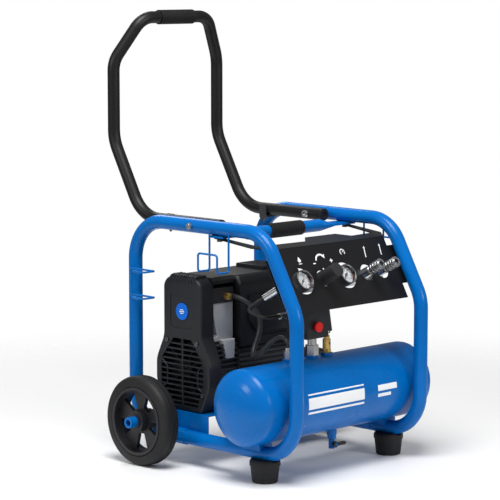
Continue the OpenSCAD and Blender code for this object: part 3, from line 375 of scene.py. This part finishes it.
def tyre(side):
    """Solid rubber tyre with round shoulders, two side beads and three grooves round its tread."""
    low, high = (Vector(corner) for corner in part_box(side + "_tyre"))
    centre = (low + high) / 2
    outer = (high.z - low.z) / 2
    inner = outer * 0.76 + 0.05 * mm
    half = (high.x - low.x) / 2
    groove = 1.2 * mm
    profile = [(-half + 3 * mm, inner), (-half + 0.4 * mm, inner + 2 * mm), (-half, inner + 4 * mm),
               (-half + 1 * mm, inner + 6 * mm), (-half + 0.6 * mm, outer - 9 * mm),
               (-half + 2.5 * mm, outer - 4 * mm),
               (-half + 6 * mm, outer - 1.2 * mm), (-half + 9.5 * mm, outer - 0.4 * mm)]
    for line in (-8 * mm, 0):
        profile += [(line - 1.2 * mm, outer), (line - 0.8 * mm, outer - groove), (line, outer - groove)]
    profile.pop()
    rows = profile + [(0, outer - groove)] + [(-x, r) for x, r in reversed(profile)]
    shape = bmesh.new()
    points = [shape.verts.new((centre.x + x, centre.y, centre.z + r)) for x, r in rows]
    edges = [shape.edges.new(pair) for pair in zip(points, points[1:])]
    edges.append(shape.edges.new((points[-1], points[0])))
    bmesh.ops.spin(shape, geom=edges, cent=centre, axis=(1, 0, 0), angle=math.tau, steps=96, use_merge=True)
    piece = settle(side + "_tyre_round", shape, side + "_wheel", tyre_rubber, 50)
    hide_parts(side + "_tyre")


for side in ("left", "right"):
    tyre(side)


# ---- fan cover -------------------------------------------------------------------------------

cover_low, cover_high = (Vector(corner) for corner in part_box("fan_cover"))
PUMP_Y = (cover_low.y + cover_high.y) / 2
SHAFT_Z = joints["motor_spin"]["pos_m"][2]
COVER_WALL = 2.5 * mm
GRILLE = [(26, 60), (61, 15), (61, -32), (44, -74)]   # half outline of the opening, from the shaft, in mm
SLAT_PITCH = 10.6 * mm


def cover_outline(inset):
    """Outline of the fan cover across X, set in from its outer face."""
    half = (cover_high.y - cover_low.y) / 2 - inset
    neck = half - 22.5 * mm
    top, foot = cover_high.z - inset, cover_low.z + inset
    return mirrored([(PUMP_Y + neck - 16 * mm, top), (PUMP_Y + neck, top - 14 * mm),
                     (PUMP_Y + neck, SHAFT_Z + 62 * mm),
                     (PUMP_Y + half, SHAFT_Z + 14 * mm), (PUMP_Y + half, SHAFT_Z - 32 * mm),
                     (PUMP_Y + half - 24 * mm, foot)], PUMP_Y)


def grille_half(up):
    """Half width of the grille's opening at a height over the shaft."""
    rows = [(y * mm, z * mm) for y, z in GRILLE]
    for (y1, z1), (y2, z2) in zip(rows, rows[1:]):
        if z2 <= up <= z1:
            return y1 + (y2 - y1) * (z1 - up) / (z1 - z2)
    return 0


shell = block(cover_outline(0), cover_low.x, cover_high.x)
round_off(shell, lambda a, b: abs(a.x - b.x) > 1 * mm and a.z > cover_low.z + 2 * mm, 9 * mm, 5)
round_off(shell, lambda a, b: max(a.x, b.x) < cover_low.x + 0.01 * mm, 5 * mm, 4)
cavity = block(cover_outline(COVER_WALL), cover_low.x + COVER_WALL, cover_high.x + 1 * mm)
opening = block(mirrored([(PUMP_Y + y * mm, SHAFT_Z + z * mm) for y, z in GRILLE], PUMP_Y),
                cover_low.x - 1 * mm, cover_low.x + 4 * mm)
window = block([(PUMP_Y + y * mm, SHAFT_Z + 115 * mm + z * mm)
                for y, z in ((-26, -34), (30, -34), (34, -28), (34, 32), (-34, 32), (-34, -22))],
               cover_low.x - 1 * mm, cover_low.x + 1.2 * mm)
settle("fan_cover_shell", carve(shell, cavity, opening, window), "machine", black_plastic,
       30)

grille = bmesh.new()
up = GRILLE[-1][1] * mm + 6 * mm
while up < GRILLE[0][1] * mm - 3 * mm:
    reach = grille_half(up) + 1 * mm
    prism(grille, [(PUMP_Y - reach, SHAFT_Z + up - 1.7 * mm), (PUMP_Y + reach, SHAFT_Z + up - 1.7 * mm),
                   (PUMP_Y + reach, SHAFT_Z + up + 1.7 * mm), (PUMP_Y - reach, SHAFT_Z + up + 1.7 * mm)],
          cover_low.x + 0.8 * mm, cover_low.x + 5 * mm)
    up += SLAT_PITCH
prism(grille, [(PUMP_Y - 2.2 * mm, SHAFT_Z - 74 * mm), (PUMP_Y + 2.2 * mm, SHAFT_Z - 74 * mm),
               (PUMP_Y + 2.2 * mm, SHAFT_Z + 60 * mm), (PUMP_Y - 2.2 * mm, SHAFT_Z + 60 * mm)],
      cover_low.x + 0.3 * mm, cover_low.x + 5 * mm)
BRACKET = [(62, 14), (47, 3), (44, -3), (44, -31), (47, -37), (62, -45)]
for hand in (-1, 1):
    for (y1, z1), (y2, z2) in zip(BRACKET, BRACKET[1:]):
        start = Vector((0, hand * y1 * mm, z1 * mm))
        end = Vector((0, hand * y2 * mm, z2 * mm))
        side = (end - start).normalized().cross(Vector((1, 0, 0))) * 1.6 * mm
        stretch = (end - start).normalized() * 1 * mm
        corners = [start - stretch - side, end + stretch - side, end + stretch + side, start - stretch + side]
        prism(grille, [(PUMP_Y + c.y, SHAFT_Z + c.z) for c in corners], cover_low.x + 0.1 * mm,
              cover_low.x + 5 * mm)
round_off(grille, lambda a, b: max(a.x, b.x) < cover_low.x + 1 * mm, 0.7 * mm, 2)
grille_piece = settle("fan_cover_grille", grille, "machine", black_plastic, 30)
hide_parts("fan_cover")

TOP_RIB_PITCH, TOP_RIB_HALF = 8.4 * mm, 2.3 * mm
ribs = bmesh.new()
for i in range(-4, 5):
    y = PUMP_Y + i * TOP_RIB_PITCH
    prism(ribs,
          [(cover_low.x + 2 * mm, cover_high.z - 13 * mm), (cover_low.x - 1 * mm, cover_high.z - 11 * mm),
                 (cover_low.x - 1 * mm, cover_high.z - 3 * mm), (cover_low.x + 4 * mm, cover_high.z + 3 * mm),
                 (cover_low.x + 10 * mm, cover_high.z + 4.4 * mm),
                 (cover_high.x - 1 * mm, cover_high.z + 4.4 * mm),
                 (cover_high.x - 1 * mm, cover_high.z - 3 * mm),
                 (cover_low.x + 9 * mm, cover_high.z - 6 * mm)],
          y - TOP_RIB_HALF, y + TOP_RIB_HALF, "y")
round_off(ribs, lambda a, b: min(a.z, b.z) > cover_high.z, 1.2 * mm, 2)
settle("fan_cover_ribs", ribs, "machine", black_plastic, 40)

# three plain bars on the badge, facing left
badge_low, badge_high = (Vector(corner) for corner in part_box("cover_badge"))
badge_mark = bmesh.new()
for rise, long in ((3.4, 9), (0, 14), (-3.4, 9)):
    slab(badge_mark, (0, rise * mm, 0), (long * mm, 1.5 * mm, 0.3 * mm))
facing = Matrix(((0, 0, -1), (-1, 0, 0), (0, 1, 0))).to_4x4()
middle = Vector((badge_low.x - 0.1 * mm, (badge_low.y + badge_high.y) / 2, (badge_low.z + badge_high.z) / 2))
bmesh.ops.transform(badge_mark, matrix=Matrix.Translation(middle) @ facing, verts=badge_mark.verts)
settle("cover_badge_mark", badge_mark, "machine", white_print)


# ---- cylinder and motor ----------------------------------------------------------------------

bore_low, bore_high = (Vector(corner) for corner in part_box("cylinder"))
PUMP_X = (bore_low.x + bore_high.x) / 2
barrel = bmesh.new()
bmesh.ops.create_cone(barrel, cap_ends=True, segments=64, radius1=28.8 * mm, radius2=28.8 * mm,
                      depth=bore_high.z - bore_low.z,
                      matrix=Matrix.Translation((PUMP_X, PUMP_Y, (bore_low.z + bore_high.z) / 2)))
half_x = (bore_high.x - bore_low.x) / 2 - 1 * mm
top, foot = bore_high.z, bore_low.z
duct = block([(PUMP_X - half_x, top), (PUMP_X + half_x, top), (PUMP_X + half_x, foot + 4 * mm),
              (PUMP_X - half_x + 15 * mm, foot + 4 * mm), (PUMP_X - half_x, top - 20 * mm)],
             bore_low.y + 1 * mm, PUMP_Y - 4 * mm, "y")
round_off(duct, lambda a, b: True, 2.2 * mm, 3)
plate = block([(PUMP_X - half_x, foot + 5 * mm), (PUMP_X - half_x + 4 * mm, foot + 9 * mm),
               (PUMP_X - half_x + 17 * mm, foot + 12 * mm), (PUMP_X + half_x - 3 * mm, foot + 12 * mm),
               (PUMP_X + half_x, foot + 5 * mm), (PUMP_X + half_x, foot), (PUMP_X - half_x, foot)],
              PUMP_Y - 50 * mm, PUMP_Y + 48 * mm, "y")
round_off(plate, lambda a, b: min(a.z, b.z) > foot + 1 * mm, 1.6 * mm, 3)
fins = []
for i in range(6):
    z = foot + 19 * mm + i * 10 * mm
    fin = block([(PUMP_X - half_x, z), (PUMP_X + half_x, z), (PUMP_X + half_x, z + 2.6 * mm),
                 (PUMP_X - half_x, z + 2.6 * mm)], PUMP_Y - 6 * mm, PUMP_Y + 46 * mm, "y")
    fins.append(fin)
casting = settle("cylinder_casting", carve(barrel, join=[duct, plate, *fins]), "machine",
                 cast_metal, 30)
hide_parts("cylinder")

CRANKCASE_RIBS, RIB_PITCH, RIB_HEIGHT = 6, 10 * mm, 3.4 * mm
ribs = bmesh.new()
for i in range(CRANKCASE_RIBS):
    z = bore_low.z - 9 * mm - i * RIB_PITCH
    prism(ribs,
          [(PUMP_X - half_x, z), (PUMP_X + half_x + 1 * mm, z), (PUMP_X + half_x + 1 * mm, z + RIB_HEIGHT),
                 (PUMP_X - half_x, z + RIB_HEIGHT)], PUMP_Y - 62 * mm, PUMP_Y - 40 * mm, "y")
round_off(ribs, lambda a, b: True, 1 * mm, 2)
settle("crankcase_ribs", ribs, "machine", dark_cast, 30)

# light flange that comes down from the cylinder over the front of the crankcase
flare = block([(PUMP_X - half_x + 17 * mm, foot + 3 * mm), (PUMP_X + half_x - 5 * mm, foot + 3 * mm),
               (PUMP_X + half_x - 7 * mm, foot - 36 * mm), (PUMP_X - half_x + 26 * mm, foot - 36 * mm)],
              PUMP_Y - 62.5 * mm, PUMP_Y - 46 * mm, "y")
round_off(flare, lambda a, b: True, 2 * mm, 3)
settle("crankcase_flange", flare, "machine", cast_metal, 30)

motor_low, motor_high = (Vector(corner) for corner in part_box("motor_housing"))
MOTOR_RADIUS = (motor_high.z - motor_low.z) / 2
FINS = 44
profile = []
for i in range(FINS):
    for step, reach in ((0, 4.5), (0.28, 4.5), (0.42, 0), (0.86, 0)):
        angle = (i + step) * math.tau / FINS
        radius = MOTOR_RADIUS - reach * mm
        profile.append((PUMP_Y + radius * math.cos(angle), SHAFT_Z + radius * math.sin(angle)))
body = block(profile, motor_low.x, motor_high.x)
motor_piece = settle("motor_barrel", body, "machine", dark_cast, 30)
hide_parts("motor_housing")


# ---- hood ------------------------------------------------------------------------------------

hood_low, hood_high = (Vector(corner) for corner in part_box("motor_cover"))
HOOD_TOP = hood_high.z - 8 * mm
HOOD_LEFT = PUMP_X + half_x + 6 * mm
hood = block([(hood_low.y, hood_low.z), (hood_low.y, HOOD_TOP - 16 * mm), (hood_low.y + 12 * mm, HOOD_TOP),
              (hood_high.y - 12 * mm, HOOD_TOP), (hood_high.y, HOOD_TOP - 16 * mm),
              (hood_high.y, hood_low.z)],
             HOOD_LEFT, hood_high.x)
round_off(hood, lambda a, b: min(a.z, b.z) > hood_low.z + 1 * mm, 6 * mm, 4)
hollow = block([(hood_low.y + 3 * mm, hood_low.z - 1 * mm), (hood_low.y + 3 * mm, HOOD_TOP - 18 * mm),
                (hood_low.y + 14 * mm, HOOD_TOP - 3 * mm), (hood_high.y - 14 * mm, HOOD_TOP - 3 * mm),
                (hood_high.y - 3 * mm, HOOD_TOP - 18 * mm), (hood_high.y - 3 * mm, hood_low.z - 1 * mm)],
               HOOD_LEFT + 3 * mm, hood_high.x - 3 * mm)
roof = block([(PUMP_Y - 52 * mm, HOOD_TOP - 14 * mm), (PUMP_Y - 52 * mm, HOOD_TOP - 7 * mm),
              (PUMP_Y - 44 * mm, HOOD_TOP - 0.5 * mm), (PUMP_Y + 44 * mm, HOOD_TOP - 0.5 * mm),
              (PUMP_Y + 52 * mm, HOOD_TOP - 7 * mm), (PUMP_Y + 52 * mm, HOOD_TOP - 14 * mm)],
             hood_low.x, HOOD_LEFT + 4 * mm)
opening = block([(PUMP_Y + (MOTOR_RADIUS + 2 * mm) * math.cos(i * math.tau / 48),
                  SHAFT_Z + (MOTOR_RADIUS + 2 * mm) * math.sin(i * math.tau / 48)) for i in range(48)],
                HOOD_LEFT - 1 * mm, HOOD_LEFT + 8 * mm)
vent = block([(HOOD_LEFT + 94 * mm, PUMP_Y - 36 * mm), (HOOD_LEFT + 158 * mm, PUMP_Y - 36 * mm),
              (HOOD_LEFT + 158 * mm, PUMP_Y + 42 * mm), (HOOD_LEFT + 94 * mm, PUMP_Y + 42 * mm)],
             HOOD_TOP - 1 * mm, hood_high.z, "z")
round_off(vent, lambda a, b: min(a.z, b.z) > HOOD_TOP, 3 * mm, 3)
slots = [block([(HOOD_LEFT + x * mm, PUMP_Y - 30 * mm), (HOOD_LEFT + (x + 4) * mm, PUMP_Y - 30 * mm),
                (HOOD_LEFT + (x + 4) * mm, PUMP_Y + 36 * mm), (HOOD_LEFT + x * mm, PUMP_Y + 36 * mm)],
               hood_high.z - 5 * mm, hood_high.z + 1 * mm, "z") for x in range(100, 152, 8)]
FRONT = hood_low.y
recess = block([(HOOD_LEFT + 14 * mm, HOOD_TOP - 34 * mm), (HOOD_LEFT + 166 * mm, HOOD_TOP - 34 * mm),
                (HOOD_LEFT + 166 * mm, hood_low.z + 16 * mm), (HOOD_LEFT + 40 * mm, hood_low.z + 16 * mm),
                (HOOD_LEFT + 14 * mm, hood_low.z + 48 * mm)], FRONT - 1 * mm, FRONT + 2 * mm, "y")
raised = block([(HOOD_LEFT + 24 * mm, HOOD_TOP - 42 * mm), (HOOD_LEFT + 158 * mm, HOOD_TOP - 42 * mm),
                (HOOD_LEFT + 158 * mm, hood_low.z + 24 * mm), (HOOD_LEFT + 46 * mm, hood_low.z + 24 * mm),
                (HOOD_LEFT + 24 * mm, hood_low.z + 52 * mm)], FRONT - 2 * mm, FRONT + 2.8 * mm, "y")
round_off(raised, lambda a, b: max(a.y, b.y) < FRONT - 1 * mm, 1.2 * mm, 2)
hood = carve(hood, hollow, opening, recess, join=[roof, vent, raised])
hood_piece = settle("motor_hood", carve(hood, *slots), "machine", hood_plastic, 30)
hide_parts("motor_cover")


# ---- pipe and hose ---------------------------------------------------------------------------

def soft_tube(name, points, diameter, material, replaced):
    """Round tube along a smooth line near points, closed at both ends."""
    data = bpy.data.curves.new(name, "CURVE")
    data.dimensions = "3D"
    data.bevel_depth = diameter / 2
    data.bevel_resolution = 6
    data.use_fill_caps = True
    line = data.splines.new("NURBS")
    line.points.add(len(points) - 1)
    for point, place in zip(line.points, points):
        point.co = (*place, 1)
    line.order_u = 3
    line.use_endpoint_u = True
    line.resolution_u = 10
    data.materials.append(material)
    tube = bpy.data.objects.new(name, data)
    bpy.context.collection.objects.link(tube)
    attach(tube, "machine")
    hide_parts(replaced)


HOSE_LINE = [(-0.1245, -0.1465, 0.3525), (-0.1297, -0.1394, 0.3469), (-0.1410, -0.1254, 0.3348),
             (-0.1505, -0.1140, 0.3240), (-0.1500, -0.1360, 0.3170), (-0.1490, -0.1560, 0.3130),
             (-0.1400, -0.1613, 0.3120), (-0.1200, -0.1613, 0.3120), (-0.1050, -0.1613, 0.3120)]
PIPE_LINE = [(-0.0831, 0.0108, 0.3340), (-0.0831, -0.0273, 0.3340), (-0.0551, -0.0493, 0.3040),
             (-0.0531, -0.0553, 0.2660), (-0.0791, -0.0553, 0.2240), (-0.0951, -0.0793, 0.2140),
             (-0.1000, -0.1413, 0.2690), (-0.1040, -0.1813, 0.2690), (-0.1040, -0.1813, 0.2520)]
soft_tube("supply_hose_soft", HOSE_LINE, 8 * mm, hose_rubber, "supply_hose")
soft_tube("delivery_pipe_soft", PIPE_LINE, 10 * mm, pipe_paint, "delivery_pipe")


# ---- panel print and dials -------------------------------------------------------------------

PRINT = 0.25 * mm         # height of printed marks over the sheet
KNOB_X, DIAL_ROW = -53 * mm, 76 * mm
KNOB_OUT = 20 * mm        # the regulator's joint stands this far out of the panel
knob_joint = joints["regulator_turn"]
panel_out = Vector(knob_joint["axis"]).normalized()
panel_up = Vector((1, 0, 0)).cross(panel_out) * -1


def panel_frame(x, up, out=0.0):
    """Frame on the panel: X to the right, Y up the slope, Z out of the sheet."""
    place = (Vector(knob_joint["pos_m"]) + Vector((x - KNOB_X, 0, 0)) + panel_up * (up - DIAL_ROW)
             + panel_out * (out - KNOB_OUT))
    turned = Matrix((Vector((1, 0, 0)), panel_up, panel_out)).transposed().to_4x4()
    return Matrix.Translation(place) @ turned


def arrow(shape, tail, tip, width):
    """Straight arrow with a three-sided head."""
    tail, tip = Vector((*tail, 0)) * mm, Vector((*tip, 0)) * mm
    run = tip - tail
    angle = math.atan2(run.y, run.x)
    head = 3.2 * mm
    neck = tip - run.normalized() * head * 1.3
    slab(shape, (tail + neck) / 2, ((neck - tail).length, width * mm, PRINT), angle)
    disc(shape, neck, head, PRINT, 3, angle - math.pi / 2)


marks = bmesh.new()
arrow(marks, (87, 107), (92, 132), 2.2)
arrow(marks, (134, 108.5), (138, 133), 2.2)
arc(marks, (-40 * mm, 111 * mm, 0), 14 * mm, 3.4 * mm, PRINT, 60, 110)
disc(marks, (-30.5 * mm, 121 * mm, 0), 5.4 * mm, PRINT, 3, math.radians(200))
slab(marks, (-61 * mm, 108 * mm, 0), (7 * mm, 2.2 * mm, PRINT))
slab(marks, (-13 * mm, 110 * mm, 0), (8 * mm, 2.2 * mm, PRINT))
slab(marks, (-13 * mm, 110 * mm, 0), (2.2 * mm, 8 * mm, PRINT))
disc(marks, (-43 * mm, 95 * mm, 0), 1.6 * mm, PRINT)
arc(marks, (26 * mm, 124 * mm, 0), 6 * mm, 1.8 * mm, PRINT, -45, 270)
slab(marks, (27.2 * mm, 125.2 * mm, 0), (5 * mm, 1.0 * mm, PRINT), math.radians(45))
disc(marks, (-99 * mm, 118 * mm, 0), 4 * mm, PRINT)
disc(marks, (-99 * mm, 123 * mm, 0), 3 * mm, PRINT, 3)
slab(marks, (-99 * mm, 111 * mm, 0), (9 * mm, 1.4 * mm, PRINT))
bmesh.ops.transform(marks, matrix=panel_frame(0, 0, PRINT / 2), verts=marks.verts)
settle("panel_print", marks, "machine", white_print)

DIAL_FACE = 1.1 * mm      # dial's face over the sheet
DIAL_START, DIAL_SWEEP = 225, 270


def dial_print(name, x, needle_out):
    """Scale of a gauge: fine and coarse ticks, and a red arc over the last of the scale."""
    scale, limit = bmesh.new(), bmesh.new()
    ticks = 32
    for i in range(ticks + 1):
        angle = math.radians(DIAL_START - DIAL_SWEEP * i / ticks)
        coarse = i % 4 == 0
        long = (3.2 if coarse else 1.8) * mm
        reach = 14.6 * mm - long / 2
        slab(scale, (reach * math.cos(angle), reach * math.sin(angle), 0),
             (long, (0.65 if coarse else 0.35) * mm, 0.1 * mm), angle)
    arc(limit, (0, 0, 0), 15.6 * mm, 1.0 * mm, 0.1 * mm, -45, 75)
    place = panel_frame(x, DIAL_ROW, needle_out)
    for part, shape, material in (("scale", scale, black_print), ("limit", limit, red_print)):
        bmesh.ops.transform(shape, matrix=place, verts=shape.verts)
        settle(name + "_" + part, shape, "machine", material)


CASE_OUT, CASE_RADIUS = 8 * mm, 20.5 * mm    # the gauge cases stand this far out of the sheet
for name in ("tank", "line"):
    dial_print(name + "_dial", joints[name + "_needle_swing"]["pos_m"][0], DIAL_FACE)
    rim = bmesh.new()
    arc(rim, (0, 0, 0), CASE_RADIUS - 1 * mm, 1.7 * mm, 1.2 * mm, 0, 360)
    bmesh.ops.transform(rim,
                        matrix=panel_frame(joints[name + "_needle_swing"]["pos_m"][0], DIAL_ROW, CASE_OUT),
                        verts=rim.verts)
    settle(name + "_gauge_rim", rim, "machine", bezel_steel, 60)


# ---- receiver print --------------------------------------------------------------------------

tank_low, tank_high = (Vector(corner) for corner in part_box("tank"))
TANK_RADIUS = (tank_high.y - tank_low.y) / 2
BOSS = 5 * mm             # the top bosses stand this far over the shell
tank_axis = Vector((0, (tank_low.y + tank_high.y) / 2, tank_high.z - BOSS - TANK_RADIUS))


def band(shape, x0, x1, start, sweep):
    """Thin painted band on the receiver from x0 to x1, from start degrees above its middle through sweep."""
    reach = TANK_RADIUS + 0.05 * mm
    angle = math.radians(start)
    rim = Vector((0, -reach * math.cos(angle), reach * math.sin(angle)))
    ends = [shape.verts.new(tank_axis + rim + Vector((x * mm, 0, 0))) for x in (x0, x1)]
    edge = shape.edges.new(ends)
    bmesh.ops.spin(shape, geom=[edge], cent=tank_axis, axis=(-1, 0, 0), angle=math.radians(sweep), steps=12)


bands = bmesh.new()
band(bands, -125, 34, -6, 17)
band(bands, -125, 34, -13, 3.2)
band(bands, -125, 34, 15, 2.2)
band(bands, 74, 130, 2, 9)
band(bands, 74, 112, -7, 5)
bmesh.ops.recalc_face_normals(bands, faces=bands.faces)
bmesh.ops.solidify(bands, geom=bands.faces, thickness=0.2 * mm)
settle("tank_print", bands, "machine", white_print)


# ---- floor -----------------------------------------------------------------------------------

FLOOR_REACH = 1.7         # the floor runs into the white backdrop at this distance, in metres
WHOLE_FROM = 0.6          # share of the way in from there at which it is whole


def fade_out(material, reach):
    """Thin a material to nothing at reach from its object's middle; it is whole within two fifths of that."""
    tree = material.node_tree
    place = node(tree, "ShaderNodeTexCoord")
    nearness = node(tree, "ShaderNodeMapping", Scale=(1 / reach, 1 / reach, 1 / reach))
    tree.links.new(place.outputs["Object"], nearness.inputs["Vector"])
    ball = node(tree, "ShaderNodeTexGradient")
    ball.gradient_type = "SPHERICAL"
    tree.links.new(nearness.outputs["Vector"], ball.inputs["Vector"])
    fade = node(tree, "ShaderNodeMapRange")
    fade.inputs["From Max"].default_value = WHOLE_FROM
    fade.interpolation_type = "SMOOTHSTEP"
    tree.links.new(ball.outputs["Fac"], fade.inputs["Value"])
    gone = node(tree, "ShaderNodeBsdfTransparent")
    thinning = node(tree, "ShaderNodeMixShader")
    tree.links.new(fade.outputs["Result"], thinning.inputs["Fac"])
    tree.links.new(gone.outputs["BSDF"], thinning.inputs[1])
    tree.links.new(tree.nodes["Principled BSDF"].outputs["BSDF"], thinning.inputs[2])
    tree.links.new(thinning.outputs["Shader"], tree.nodes["Material Output"].inputs["Surface"])


floor_shape = bmesh.new()
bmesh.ops.create_grid(floor_shape, x_segments=1, y_segments=1, size=40)
floor_mesh = bpy.data.meshes.new("floor")
floor_shape.to_mesh(floor_mesh)
floor_shape.free()
floor = bpy.data.objects.new("floor", floor_mesh)
floor.location.z = cad_box[0][2]
bpy.context.collection.objects.link(floor)
studio_floor = finish("studio_floor", (0.93, 0.93, 0.93), (0.92, 0.92, 0.92), (0.30, 0.36), 3.0, 0.001,
                      soft=0, mottle=0.5)
fade_out(studio_floor, FLOOR_REACH)
floor_mesh.materials.append(studio_floor)
